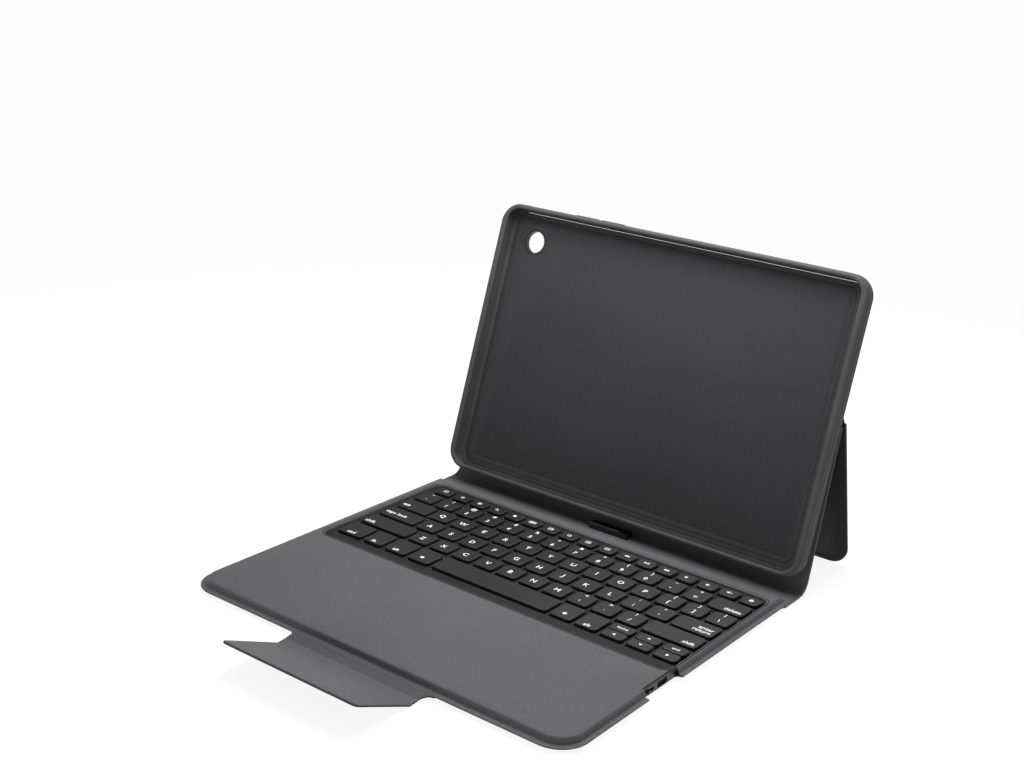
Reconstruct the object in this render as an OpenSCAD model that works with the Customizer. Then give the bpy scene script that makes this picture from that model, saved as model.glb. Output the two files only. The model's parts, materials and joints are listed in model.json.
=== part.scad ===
// Tablet keyboard case: a keyboard base, a soft spine, a tray for the tablet, a fold-out
// kickstand and a closing flap. It is drawn open, as it stands on a table in use.
// Millimetres. Origin: centre of the base's footprint, on the table. +X right, +Y to the rear, +Z up.

/* [Case] */
// Width of the base and of the tray
case_w = 258; // [258:0.5:264]
// Depth of the keyboard base, front edge to rear edge
base_d = 214; // [210:1:222]
// Height of the palm rest above the table
base_h = 6.6; // [6.6:0.1:8]
// Radius of the base's two front corners
base_r = 17; // [10:1:20]
// Width of the bevelled band round the base
bevel_w = 4.5; // [4:0.1:6]
// Thickness of the covering skins
skin_t = 0.6; // [0.5:0.1:0.8]

/* [Keyboard] */
// Spacing of the keys, centre to centre, across the case
key_pitch = 16.5; // [16:0.1:16.5]
// Spacing of the key rows
row_pitch = 16.4; // [16:0.1:16.5]
// Gap between neighbouring key caps
key_gap = 2.6; // [2.2:0.1:3]
// Distance of the keyboard's middle from the case's middle, to the right
keyboard_x = 3.2; // [0:0.1:3.2]
// Centre of the number row, behind the base's middle
number_row_y = 72.7; // [70:0.1:73]
// Height of the key caps' tops above the table
key_top_z = 6.75; // [6.6:0.05:6.8]
// Travel of a key
key_travel = 1.2; // [1:0.1:1.2]

/* [Tray] */
// Height of the tray, measured along the tablet
tray_h = 176.6; // [176.6:0.1:182]
// Thickness of the tray, front lip to back
tray_t = 10.5; // [10.3:0.1:12]
// Angle of the tray from the table
tray_tilt = 73.6; // [65:0.1:80]
// Height of the tray's lower front lip above the table
tray_lift = 13.1; // [13:0.1:14]
// Outer radius of the tray's corners
tray_r = 13; // [10:0.5:15]
// Width of the tablet that the tray holds
tablet_w = 250.6; // [240:0.1:250.6]
// Height of the tablet
tablet_h = 174.1; // [165:0.1:174.1]
// Thickness of the tablet
tablet_t = 7.5; // [6:0.1:7.5]

/* [Kickstand] */
// Length of the kickstand, hinge to foot
kickstand_len = 103.1; // [98:0.1:103.1]
// Angle of the kickstand from the table in use
kickstand_angle = 73.4; // [70:0.1:76]
// Thickness of the kickstand
kickstand_t = 2.8; // [2:0.1:3]

/* [Flap] */
// Width of the closing flap
flap_w = 92; // [80:1:110]
// Depth of the flap's neck
flap_neck = 11; // [9:0.5:12]
// Length of the flap's tongue
flap_tongue = 40.5; // [30:0.5:42]
// Angle of the tongue above the table
flap_rise = 23; // [10:1:30]

/* [Hidden] */
$fn = 48;
eps = 0.01;
clear = 0.3;

// Base levels, from the table up
flange_z = 2.4;
flange_w = 1.6;
under_bevel = 7;
board_z = skin_t + 0.05;
board_t = 0.8;
pan_z = board_z + board_t + 0.05;
plate_z = pan_z + 0.65;
membrane_z = plate_z + 0.3;
dome_z = membrane_z + 0.25;
deck_z = 4.3;
deck_t = 0.6;
cap_z = deck_z + 0.25;
cap_wall = 1;
cap_roof = 1;
dome_h = key_top_z - cap_roof - key_travel - dome_z - 0.5;
front_y = -base_d / 2;
rear_y = base_d / 2;
edge_x = case_w / 2;

// Keyboard bed
row_units = 14.5;
field_w = row_units * key_pitch;
field_x = keyboard_x - field_w / 2;
bed_x0 = field_x - 3.1;
bed_x1 = field_x + field_w + 0.3;
bed_w = bed_x1 - bed_x0;
bed_x = (bed_x0 + bed_x1) / 2;
bed_front = number_row_y - 85.8;
bed_rear = number_row_y + 23.1;
bed_d = bed_rear - bed_front;
bed_y = (bed_rear + bed_front) / 2;
bed_r = 5.5;
cap_d = row_pitch - key_gap + 0.1;
bottom_d = 16.6;
bottom_row_y = number_row_y - 4 * row_pitch - 1.7;
function_d = 9.2;
function_y = number_row_y + 14.7;
function_x = field_x + 2.75;
function_pitch = 13.9;
aperture = 0.3;

// Side notch with the switch and the charging port
notch_y0 = -37.5;
notch_y1 = -5.7;
notch_x = edge_x - 4.2;
port_y = -19.5;
switch_y = -31;
side_z = 3.6;
insert_t = 1.1;
insert_z0 = 1.25;
insert_z1 = 6.2;

// Spine
spine_y0 = rear_y + 1.2;
spine_y1 = rear_y + 17.5;
spine_top = 2.5;
lug_x = -13.5;
lug_y = rear_y + 7.4;
lug_w = 28;
lug_d = 6.2;
lug_h = 4;
lug_bar = 22;

// Tray frame: a point (x, v, w) lies v up the tray and w behind its front lip
lip_y = rear_y + 6.4;
lip_t = 1.3;
side_fit = 0.2;
pocket_w = tablet_w + 2 * side_fit;
pocket_h = tablet_h + 2 * side_fit;
pocket_t = tablet_t + 0.2;
plate_t = tray_t - lip_t - pocket_t;
camera_x = -edge_x + 24;
camera_v = tray_h - 22;
camera_r = 7;
volume_x = -edge_x + 62;
volume_step = 19;
button_w0 = 4.4;
button_w1 = 7.4;
button_rise = 0.5;
power_v = tray_h - 24;

// Panel behind the tray's lower half: it leans away from the tray towards the table
panel_lean = 4;
panel_top = 91;
panel_len = 84;
panel_t = 2;
hinge_v = 93.2;
hinge_w = tray_t + panel_t + 0.45;

// Flap
flap_x = -1.5;
flap_fold = [front_y - 0.2, 2.6];
crease_y = front_y - flap_neck - 0.9;
crease_z = 0.8;

fabric_blue = [0.17, 0.2, 0.24];
lining_grey = [0.35, 0.35, 0.37];
rubber_grey = [0.32, 0.32, 0.33];
black = [0.06, 0.06, 0.07];
steel = [0.7, 0.71, 0.73];

// ---------- shared shapes ----------

// A flat rectangle with round corners, centred on the origin
module round_rect(w, d, r) {
    square([w - 2 * r, d], center = true);
    square([w, d - 2 * r], center = true);
    for (x = [-1, 1], y = [-1, 1])
        translate([x * (w / 2 - r), y * (d / 2 - r)]) circle(r);
}

// The base's outline, drawn in by inset: round front corners, nearly square rear corners
module base_outline(inset) {
    r = max(base_r - inset, 2);
    w = case_w - 2 * inset;
    d = base_d - 2 * inset;
    rear_r = 2;
    translate([-w / 2, -d / 2 + r]) square([w, d - r - rear_r]);
    translate([-w / 2 + r, -d / 2]) square([w - 2 * r, r + eps]);
    translate([-w / 2 + rear_r, d / 2 - rear_r - eps]) square([w - 2 * rear_r, rear_r + eps]);
    for (x = [-1, 1]) {
        translate([x * (w / 2 - r), -d / 2 + r]) circle(r, $fn = 32);
        translate([x * (w / 2 - rear_r), d / 2 - rear_r]) circle(rear_r, $fn = 32);
    }
}

// A pillow between two levels: the outline drawn in by low at z0 and by high at z1
module pillow(z0, low, z1, high) {
    hull() {
        translate([0, 0, z0]) linear_extrude(eps) base_outline(low);
        translate([0, 0, z1 - eps]) linear_extrude(eps) base_outline(high);
    }
}

// The space that the side notch takes out of the base
module notch_space() {
    translate([notch_x, notch_y0, -1]) cube([10, notch_y1 - notch_y0, base_h + 2]);
}

// The space of the plastic insert that lines the notch's inner wall
module insert_space(gap) {
    translate([notch_x - insert_t - gap, notch_y0 + 0.8 - gap, insert_z0 - 20 * gap])
        cube([insert_t + 2 * gap, notch_y1 - notch_y0 - 1.6 + 2 * gap, insert_z1 - insert_z0 + 40 * gap]);
}

// Places its children in the tray's own frame: X across, Y up the tray, Z from back to front
module on_tray() {
    translate([0, lip_y, tray_lift]) rotate([tray_tilt, 0, 0]) children();
}

// A slab of the tray: an outline between two depths behind the front lip
module tray_layer(w0, w1) {
    translate([0, tray_h / 2, -w1]) linear_extrude(w1 - w0) children();
}

// ---------- keyboard layout ----------

// Each key: [start in key units from the left, width in key units]
function run(start, count) = [for (i = [0 : count - 1]) [start + i, 1]];
FUNCTION_COUNT = 17;
NUMBER_KEYS = run(0, 13);
UPPER_KEYS = run(1.55, 11);
HOME_KEYS = run(1.8, 11);
LOWER_KEYS = run(2.3, 10);
MODIFIER_KEYS = [[0, 1.2], [1.2, 1], [2.2, 1.1], [3.3, 1.1], [9.5, 1], [10.5, 1]];
DELETE_KEY = [[13, 1.5]];
TAB_KEY = [[0, 1.55]];
RIGHT_BRACKET_KEY = [[12.55, 0.95]];
BACKSLASH_KEY = [[13.5, 1]];
CAPS_KEY = [[0, 1.8]];
ENTER_KEY = [[12.8, 1.7]];
LEFT_SHIFT_KEY = [[0, 2.3]];
RIGHT_SHIFT_KEY = [[12.3, 2.2]];
SPACE_KEY = [[4.4, 5.1]];
ARROW_START = [11.5, 12.5, 13.5];

// Row centres, front to back
BOTTOM = bottom_row_y;
LOWER = number_row_y - 3 * row_pitch;
HOME = number_row_y - 2 * row_pitch;
UPPER = number_row_y - row_pitch;
NUMBER = number_row_y;
half_d = (bottom_d - 0.7) / 2;
half_shift = half_d / 2 + 0.35;

// Every cap's rectangle: [centre x, centre y, width, depth]
FUNCTION_CAPS = [for (i = [0 : FUNCTION_COUNT - 1])
    [function_x + (i + 0.5) * function_pitch, function_y, function_pitch - key_gap, function_d]];
function caps(keys, y, depth) =
    [for (k = keys) [field_x + (k[0] + k[1] / 2) * key_pitch, y, k[1] * key_pitch - key_gap, depth]];
function arrow(i, side) = caps([[ARROW_START[i], 1]], BOTTOM + side * half_shift, half_d);

ALL_CAPS = concat(
    FUNCTION_CAPS, caps(NUMBER_KEYS, NUMBER, cap_d), caps(DELETE_KEY, NUMBER, cap_d),
    caps(TAB_KEY, UPPER, cap_d), caps(UPPER_KEYS, UPPER, cap_d), caps(RIGHT_BRACKET_KEY, UPPER, cap_d),
    caps(BACKSLASH_KEY, UPPER, cap_d), caps(CAPS_KEY, HOME, cap_d), caps(HOME_KEYS, HOME, cap_d),
    caps(ENTER_KEY, HOME, cap_d), caps(LEFT_SHIFT_KEY, LOWER, cap_d),
    caps(LOWER_KEYS, LOWER, cap_d), caps(RIGHT_SHIFT_KEY, LOWER, cap_d),
    caps(MODIFIER_KEYS, BOTTOM, bottom_d), caps(SPACE_KEY, BOTTOM, bottom_d),
    arrow(0, -1), arrow(1, -1), arrow(2, -1), arrow(0, 1), arrow(1, 1), arrow(2, 1));

// A key cap: a top plate with a skirt round it, open below
module key_cap(cap) {
    height = key_top_z - cap_z;
    translate([cap[0], cap[1], cap_z]) difference() {
        linear_extrude(height) round_rect(cap[2], cap[3], 1.8);
        translate([-cap[2] / 2 + cap_wall, -cap[3] / 2 + cap_wall, -eps])
            cube([cap[2] - 2 * cap_wall, cap[3] - 2 * cap_wall, height - cap_roof + eps]);
    }
}

module key_caps(list) {
    color(black) for (cap = list) key_cap(cap);
}

// ---------- base ----------

module base_outer_cover() {
    color(fabric_blue) difference() {
        union() {
            pillow(0, under_bevel, flange_z, 1.4);
            translate([0, 0, flange_z - eps]) linear_extrude(skin_t) base_outline(0);
        }
        pillow(skin_t, under_bevel + 0.1, flange_z + skin_t + eps, flange_w);
        notch_space();
        insert_space(0.05);
    }
}

module base_stiffener() {
    color("dimgray") translate([0, 0, board_z]) linear_extrude(board_t) base_outline(8.4);
}

module palm_rest_core() {
    core_front = front_y + 10;
    core_d = bed_front - 1 - core_front;
    color("silver") difference() {
        translate([-edge_x + 10, core_front, pan_z])
            cube([case_w - 20, core_d, base_h - skin_t - 0.1 - pan_z]);
        battery_space(0.5);
        translate([lead_x1 - 4, -43, pan_z - 1]) cube([60, 60, 8]);
        translate([lead_x0, lead_y - lead_w / 2 - 0.5, pan_z - 1]) cube([60, lead_w + 1, 2.8]);
        for (m = magnet_places()) translate([m[0], m[1], pan_z + 1]) cylinder(h = 8, r = 5.2);
    }
}

module palm_rest_lining() {
    color(lining_grey) difference() {
        union() {
            pillow(flange_z + skin_t, flange_w, base_h, bevel_w);
            translate([0, 0, flange_z + skin_t]) linear_extrude(skin_t) base_outline(0);
        }
        pillow(flange_z + skin_t - eps, 2.4, base_h - skin_t, bevel_w + 0.4);
        translate([bed_x, bed_y, -1]) linear_extrude(20) round_rect(bed_w, bed_d, bed_r);
        notch_space();
        insert_space(0.05);
        for (x = lens_places()) translate([x, lens_y, 0]) cylinder(h = 20, r = 1);
    }
}

battery_x = -20;
battery_w = 118;
battery_d = 48;
battery_t = 3.2;
module battery_space(gap) {
    translate([battery_x - battery_w / 2 - gap, -62 - battery_d / 2 - gap, pan_z + 0.1 - gap])
        cube([battery_w + 2 * gap, battery_d + 2 * gap, battery_t + 2 * gap]);
}

module battery_pack() {
    color("lightsteelblue") battery_space(0);
}

// The lead runs from the battery's right side to the board's left side
lead_x0 = battery_x + battery_w / 2;
lead_x1 = 88;
lead_y = -39.6;
lead_w = 2.4;
module battery_lead() {
    color("firebrick") translate([lead_x0, lead_y - lead_w / 2, pan_z + 0.4])
        cube([lead_x1 - lead_x0, lead_w, 0.9]);
}

board_rear = -17;
module controller_board() {
    color("darkgreen") translate([lead_x1, board_rear - 24, pan_z + 0.4]) cube([27, 24, 0.9]);
}

module charging_port() {
    depth = 7.3;
    color(steel) translate([notch_x - insert_t - 0.1 - depth, port_y, side_z]) rotate([90, 0, 90])
        difference() {
            linear_extrude(depth) round_rect(8.9, 3.2, 1.59);
            translate([0, 0, 0.6]) linear_extrude(depth) round_rect(8.3, 2.6, 1.29);
        }
}

module switch_housing() {
    color(steel) difference() {
        translate([notch_x - 7, switch_y - 5, pan_z + 0.3]) cube([5.8, 10, 3.4]);
        translate([notch_x - 5, switch_y - 4.2, side_z - 1]) cube([5, 8.4, 2]);
    }
}

module side_port_plate() {
    color(black) difference() {
        insert_space(0);
        translate([notch_x - 2, port_y, side_z]) rotate([90, 0, 90])
            linear_extrude(4) round_rect(9.4, 3.5, 1.74);
        translate([notch_x - 2, switch_y - 3.6, side_z - 0.9]) cube([4, 7.2, 1.8]);
    }
}

module power_switch() {
    color(black) {
        translate([notch_x - 4.6, switch_y - 3.2, side_z - 0.6]) cube([3, 3.6, 1.2]);
        translate([notch_x - 1.7, switch_y - 2.6, side_z - 0.6]) cube([3, 2.4, 1.2]);
    }
}

lens_y = -22;
function lens_places() = [86.4, 91.6, 97.2, 102.6];
module indicator_lenses() {
    color("whitesmoke") for (x = lens_places())
        translate([x, lens_y, base_h - 1.5]) cylinder(h = 1.5, r = 0.95);
}

function magnet_places() = [for (x = [-1, 1], y = [17, 55]) [x * 104, front_y + y]];
module closure_magnets() {
    color(steel) for (m = magnet_places())
        translate([m[0], m[1], pan_z + 1.1]) cylinder(h = 1.6, r = 5);
}

// ---------- keyboard module ----------

screw_r = 0.6;
head_r = 1.1;
boss_r = 1.4;
function screw_places() =
    [for (x = [-112, -37, 38, 113], y = [bed_front + 4, bed_rear - 1.9]) [keyboard_x + x, y]];

module keyboard_pan() {
    rim = 1.1;
    color(black) difference() {
        union() {
            translate([bed_x, bed_y, pan_z]) linear_extrude(0.6)
                round_rect(bed_w - 0.4, bed_d - 0.4, bed_r);
            translate([bed_x, bed_y, pan_z]) linear_extrude(deck_z - pan_z) difference() {
                round_rect(bed_w - 0.4, bed_d - 0.4, bed_r);
                round_rect(bed_w - 2 * rim, bed_d - 2 * rim, bed_r - rim);
            }
            for (s = screw_places())
                translate([s[0], s[1], pan_z]) cylinder(h = deck_z - pan_z, r = boss_r);
        }
        for (s = screw_places()) {
            translate([s[0], s[1], pan_z - eps]) cylinder(h = 5, r = screw_r + 0.1);
            translate([s[0], s[1], pan_z - eps]) cylinder(h = 0.75, r = head_r + 0.1);
        }
        translate([tail_x - tail_w / 2 - 1, bed_front - 1, membrane_z - 0.15]) cube([tail_w + 2, 4, 0.5]);
    }
}

sheet_front = bottom_row_y - bottom_d / 2 - 2.6;
sheet_rear = function_y + 4.6;
sheet_x0 = field_x + 0.4;
sheet_x1 = bed_x1 - 1.6;
module key_backplate() {
    color(steel) translate([sheet_x0, sheet_front, plate_z])
        cube([sheet_x1 - sheet_x0, sheet_rear - sheet_front, 0.25]);
}

module membrane_sheet() {
    color("gainsboro") translate([sheet_x0 + 0.4, sheet_front + 0.4, membrane_z])
        cube([sheet_x1 - sheet_x0 - 0.8, sheet_rear - sheet_front - 0.8, 0.2]);
}

// The tail runs from the board's rear edge through the pan's front wall to the membrane
tail_x = 100;
tail_w = 8;
module membrane_tail() {
    color("gainsboro") translate([tail_x - tail_w / 2, board_rear, membrane_z])
        cube([tail_w, sheet_front + 0.4 - board_rear, 0.2]);
}

module rubber_domes() {
    color("lightgray") for (cap = ALL_CAPS)
        translate([cap[0], cap[1], dome_z]) cylinder(h = dome_h, r1 = 2.1, r2 = 1.3);
}

module scissor_frames() {
    arm_t = 0.5;
    color("white") for (cap = ALL_CAPS) {
        w = min(cap[2], 14) - 4.4;
        d = cap[3] > 8 ? min(cap[3] - 3.2, 9.5) : 5.2;
        translate([cap[0], cap[1], dome_z + 0.2]) difference() {
            translate([-w / 2, -d / 2, 0]) cube([w, d, arm_t]);
            translate([-w / 2 + 0.9, -d / 2 + 0.35, -1]) cube([w - 1.8, d - 0.7, 3]);
        }
    }
}

module keyboard_deck() {
    color([0.13, 0.13, 0.14]) difference() {
        translate([bed_x, bed_y, deck_z]) linear_extrude(deck_t)
            round_rect(bed_w - 0.3, bed_d - 0.3, bed_r);
        for (cap = ALL_CAPS)
            translate([cap[0], cap[1], deck_z - 1]) linear_extrude(4)
                square([cap[2] + 2 * aperture, cap[3] + 2 * aperture], center = true);
        for (s = screw_places()) translate([s[0], s[1], deck_z - eps]) cylinder(h = 0.3, r = screw_r + 0.1);
    }
}

module keyboard_screws() {
    color(steel) for (s = screw_places()) {
        translate([s[0], s[1], pan_z + 0.05]) cylinder(h = 0.6, r = head_r);
        translate([s[0], s[1], pan_z + 0.05]) cylinder(h = deck_z + 0.2 - pan_z, r = screw_r);
    }
}

// ---------- spine ----------

module spine_slab(z0, t, inset) {
    translate([-edge_x + inset, spine_y0 + inset, z0])
        cube([case_w - 2 * inset, spine_y1 - spine_y0 - 2 * inset, t]);
}
module spine_fabric() { color(fabric_blue) spine_slab(0, 0.6, 0); }
module spine_board() { color("dimgray") spine_slab(0.65, 1, 1.5); }
module spine_lining() { color(lining_grey) spine_slab(spine_top - 0.8, 0.8, 0); }

// A low moulded lug on the spine with a rounded front edge and a hollow top. With the case closed
// it stands in the gap below the tray's lower edge.
module spine_lug() {
    r = 0.9;
    wall = 1.2;
    color(black) translate([lug_x, lug_y, spine_top + 0.05]) difference() {
        union() {
            cube([lug_w, lug_d, lug_h - r]);
            translate([0, r, lug_h - r]) rotate([0, 90, 0]) cylinder(h = lug_bar, r = r);
        }
        translate([wall, 2 * r, wall]) cube([lug_w - 2 * wall, lug_d - 2 * r - wall, lug_h]);
    }
}

// ---------- tray ----------

// The openings for the button pads in the frame's top edge and left edge
module top_button_space(x, grow) {
    translate([x - 8 - grow, tray_h - 2.2, -button_w1 - grow])
        cube([16 + 2 * grow, 4, button_w1 - button_w0 + 2 * grow]);
}
module side_button_space(grow) {
    translate([-edge_x - 1, power_v - 7 - grow, -button_w1 - grow])
        cube([6, 14 + 2 * grow, button_w1 - button_w0 + 2 * grow]);
}

module tray_outline(inset) {
    round_rect(case_w - 2 * inset, tray_h - 2 * inset, tray_r - inset);
}

module tray_frame() {
    color(rubber_grey) on_tray() difference() {
        union() {
            tray_layer(0, 0.7) tray_outline(0.4);
            tray_layer(0.7, 3.2) tray_outline(0);
            tray_layer(3.2, 3.9) tray_outline(0.4);
            tray_layer(3.9, 9.0) tray_outline(0);
            tray_layer(9.0, 9.8) tray_outline(0.8);
            tray_layer(9.8, tray_t) tray_outline(1.8);
        }
        tray_layer(-1, lip_t + eps) round_rect(case_w - 8.4, tray_h - 6, tray_r - 4);
        tray_layer(lip_t, lip_t + pocket_t) round_rect(pocket_w, pocket_h, 8);
        tray_layer(lip_t + pocket_t - eps, tray_t + 1) round_rect(pocket_w - 6, pocket_h - 6, 8);
        for (x = [volume_x, volume_x + volume_step]) top_button_space(x, clear);
        side_button_space(clear);
    }
}

module tray_back_plate() {
    color([0.2, 0.2, 0.21]) on_tray() difference() {
        tray_layer(tray_t - plate_t, tray_t) round_rect(pocket_w - 6.4, pocket_h - 6.4, 8);
        translate([camera_x, camera_v, -tray_t - 1]) cylinder(h = 5, r = camera_r + 1.2);
    }
}

module tray_pad() {
    pad_t = 0.15;
    color("gray") on_tray() difference() {
        tray_layer(tray_t - plate_t - pad_t, tray_t - plate_t) round_rect(pocket_w - 12, pocket_h - 12, 6);
        translate([camera_x, camera_v, -tray_t - 1]) cylinder(h = 5, r = camera_r + 4);
    }
}

module upper_back_cover() {
    color(fabric_blue) on_tray() difference() {
        translate([0, (tray_h + hinge_v) / 2, -tray_t - 1.8]) linear_extrude(1.75)
            round_rect(case_w - 6, tray_h - hinge_v - 9, 8);
        translate([camera_x, camera_v, -tray_t - 3]) cylinder(h = 5, r = camera_r + 1.2);
    }
}

module camera_ring() {
    color(black) on_tray() translate([camera_x, camera_v, -tray_t - 2]) difference() {
        cylinder(h = 2 + plate_t - 0.1, r = camera_r + 1.1);
        translate([0, 0, -1]) cylinder(h = 6, r = camera_r);
    }
}

// The lower panel's own frame: Y down from its top edge, Z to the rear
module on_panel() {
    on_tray() translate([0, panel_top, -tray_t]) rotate([180 + panel_lean, 0, 0]) children();
}
module lower_back_lining() {
    color(lining_grey) on_panel() translate([-edge_x, 0, 0.05]) cube([case_w, panel_len, 0.95]);
}
module lower_back_board() {
    color(fabric_blue) on_panel() translate([-edge_x + 0.6, 0.6, 1.05])
        cube([case_w - 1.2, panel_len - 1.2, 0.95]);
}

module volume_button(x) {
    color(rubber_grey) on_tray() translate([x - 8, tray_h - 0.9, -button_w1])
        cube([16, 0.9 + button_rise, button_w1 - button_w0]);
}
module volume_up_button() { volume_button(volume_x + volume_step); }
module volume_down_button() { volume_button(volume_x); }
module tablet_power_button() {
    color(rubber_grey) on_tray() translate([-edge_x - button_rise, power_v - 7, -button_w1])
        cube([edge_x - pocket_w / 2 - 0.2 + button_rise, 14, button_w1 - button_w0]);
}

// ---------- kickstand ----------

// The kickstand's own frame: Y down from its hinge to its foot, Z to the rear
hinge_y = lip_y + hinge_v * cos(tray_tilt) + hinge_w * sin(tray_tilt);
hinge_z = tray_lift + hinge_v * sin(tray_tilt) - hinge_w * cos(tray_tilt);
module on_kickstand() {
    translate([0, hinge_y, hinge_z]) rotate([-kickstand_angle, 0, 0]) children();
}
module kickstand_slab(z0, t, inset) {
    r = 12 - inset;
    w = case_w - 2 * inset;
    translate([0, 1.2 + inset, z0]) linear_extrude(t) {
        translate([-w / 2, 0]) square([w, kickstand_len - 1.2 - 2 * inset - r]);
        translate([-w / 2 + r, 0]) square([w - 2 * r, kickstand_len - 1.2 - 2 * inset]);
        for (x = [-1, 1])
            translate([x * (w / 2 - r), kickstand_len - 1.2 - 2 * inset - r]) circle(r);
    }
}
module kickstand_lining() { color(black) on_kickstand() kickstand_slab(0, 0.7, 0); }
module kickstand_board() { color("dimgray") on_kickstand() kickstand_slab(0.75, kickstand_t - 1.6, 1); }
module kickstand_cover() { color(fabric_blue) on_kickstand() kickstand_slab(kickstand_t - 0.8, 0.8, 0); }

// ---------- flap ----------

module flap_neck_panel() {
    rise = flap_fold[1] - crease_z - 0.35;
    slope = atan(rise / (flap_neck - 1));
    color(lining_grey) translate([flap_x - flap_w / 2, flap_fold[0] - 0.5, flap_fold[1] - 0.3])
        rotate([slope, 0, 0]) translate([0, -flap_neck + 0.6, -0.7]) cube([flap_w, flap_neck - 0.6, 1.2]);
}
// The tongue's own frame: Y out from the crease, Z up
module on_tongue() {
    translate([flap_x, crease_y, crease_z]) rotate([flap_rise, 0, 180]) children();
}
module tongue_slab(z0, t, inset) {
    r = 2.5 - inset;
    w = flap_w - 2 * inset;
    translate([0, 0.6, z0]) linear_extrude(t) {
        translate([-w / 2, inset]) square([w, flap_tongue - 2 * inset - r]);
        translate([-w / 2 + r, inset]) square([w - 2 * r, flap_tongue - 2 * inset]);
        for (x = [-1, 1]) translate([x * (w / 2 - r), flap_tongue - inset - r]) circle(r);
    }
}
module flap_skin() { color(lining_grey) on_tongue() tongue_slab(0.05, 0.5, 0); }
module flap_board() {
    color("dimgray") on_tongue() difference() {
        tongue_slab(-0.75, 0.75, 1);
        for (x = flap_magnet_places()) translate([x - 7.2, 16, -2]) cube([14.4, 8.4, 3]);
    }
}
function flap_magnet_places() = [-30, 0, 30];
module flap_magnets() {
    color(steel) on_tongue() for (x = flap_magnet_places())
        translate([x - 7, 16.2, -0.7]) cube([14, 8, 0.7]);
}

base_outer_cover();
base_stiffener();
palm_rest_core();
palm_rest_lining();
battery_pack();
battery_lead();
controller_board();
charging_port();
switch_housing();
side_port_plate();
power_switch();
indicator_lenses();
closure_magnets();
keyboard_pan();
key_backplate();
membrane_sheet();
membrane_tail();
rubber_domes();
scissor_frames();
keyboard_deck();
keyboard_screws();
key_caps(FUNCTION_CAPS);  // function_keys
key_caps(caps(NUMBER_KEYS, NUMBER, cap_d));  // number_keys
key_caps(concat(caps(UPPER_KEYS, UPPER, cap_d), caps(RIGHT_BRACKET_KEY, UPPER, cap_d)));  // upper_letter_keys
key_caps(caps(HOME_KEYS, HOME, cap_d));  // home_letter_keys
key_caps(caps(LOWER_KEYS, LOWER, cap_d));  // lower_letter_keys
key_caps(concat(caps(MODIFIER_KEYS, BOTTOM, bottom_d), arrow(0, 1), arrow(2, 1)));  // modifier_keys
key_caps(caps(DELETE_KEY, NUMBER, cap_d));  // delete_key
key_caps(caps(TAB_KEY, UPPER, cap_d));  // tab_key
key_caps(caps(BACKSLASH_KEY, UPPER, cap_d));  // backslash_key
key_caps(caps(CAPS_KEY, HOME, cap_d));  // caps_key
key_caps(caps(ENTER_KEY, HOME, cap_d));  // enter_key
key_caps(caps(LEFT_SHIFT_KEY, LOWER, cap_d));  // left_shift_key
key_caps(caps(RIGHT_SHIFT_KEY, LOWER, cap_d));  // right_shift_key
key_caps(caps(SPACE_KEY, BOTTOM, bottom_d));  // space_bar
key_caps(arrow(0, -1));  // left_arrow_key
key_caps(arrow(1, 1));  // up_arrow_key
key_caps(arrow(1, -1));  // down_arrow_key
key_caps(arrow(2, -1));  // right_arrow_key
spine_fabric();
spine_board();
spine_lining();
spine_lug();
tray_frame();
tray_back_plate();
tray_pad();
upper_back_cover();
camera_ring();
lower_back_lining();
lower_back_board();
volume_up_button();
volume_down_button();
tablet_power_button();
kickstand_cover();
kickstand_board();
kickstand_lining();
flap_neck_panel();
flap_board();
flap_skin();
flap_magnets();
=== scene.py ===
import json
import math

import bmesh
import bpy
from mathutils import Matrix, Vector

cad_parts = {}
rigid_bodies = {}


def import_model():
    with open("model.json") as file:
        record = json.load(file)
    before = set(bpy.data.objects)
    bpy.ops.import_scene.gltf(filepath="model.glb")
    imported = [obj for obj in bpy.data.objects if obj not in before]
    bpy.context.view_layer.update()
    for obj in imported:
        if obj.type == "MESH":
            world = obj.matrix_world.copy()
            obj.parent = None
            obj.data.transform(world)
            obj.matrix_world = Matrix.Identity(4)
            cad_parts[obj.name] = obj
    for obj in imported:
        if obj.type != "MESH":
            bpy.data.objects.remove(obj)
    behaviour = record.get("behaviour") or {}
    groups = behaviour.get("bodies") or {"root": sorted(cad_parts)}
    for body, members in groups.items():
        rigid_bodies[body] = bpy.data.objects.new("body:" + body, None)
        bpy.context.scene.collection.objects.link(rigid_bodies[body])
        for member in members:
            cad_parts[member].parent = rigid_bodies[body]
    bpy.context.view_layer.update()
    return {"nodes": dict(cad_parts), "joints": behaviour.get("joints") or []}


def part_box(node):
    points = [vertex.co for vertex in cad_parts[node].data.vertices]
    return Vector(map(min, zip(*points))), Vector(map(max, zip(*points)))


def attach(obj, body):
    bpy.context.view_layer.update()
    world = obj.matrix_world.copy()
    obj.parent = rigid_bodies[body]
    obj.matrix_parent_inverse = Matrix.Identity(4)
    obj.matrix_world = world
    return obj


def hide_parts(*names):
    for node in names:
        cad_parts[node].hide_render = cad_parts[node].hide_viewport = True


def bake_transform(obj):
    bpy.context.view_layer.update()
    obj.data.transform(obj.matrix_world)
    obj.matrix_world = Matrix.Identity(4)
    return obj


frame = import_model()

# Lengths below are millimetres until a mesh is made. Axes are the frame's: +X right, +Y rear, +Z up.
MM = 0.001


def node_box(name):
    low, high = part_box(name)
    return low / MM, high / MM


BASE_LOW, BASE_HIGH = node_box("base_outer_cover")
PALM_HIGH = node_box("palm_rest_lining")[1]
DECK_LOW, DECK_HIGH = node_box("keyboard_deck")
PLATE_LOW, PLATE_HIGH = node_box("side_port_plate")
SPINE_LOW, SPINE_HIGH = node_box("spine_fabric")
JOINT = {j["name"]: j for j in frame["joints"]}

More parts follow.
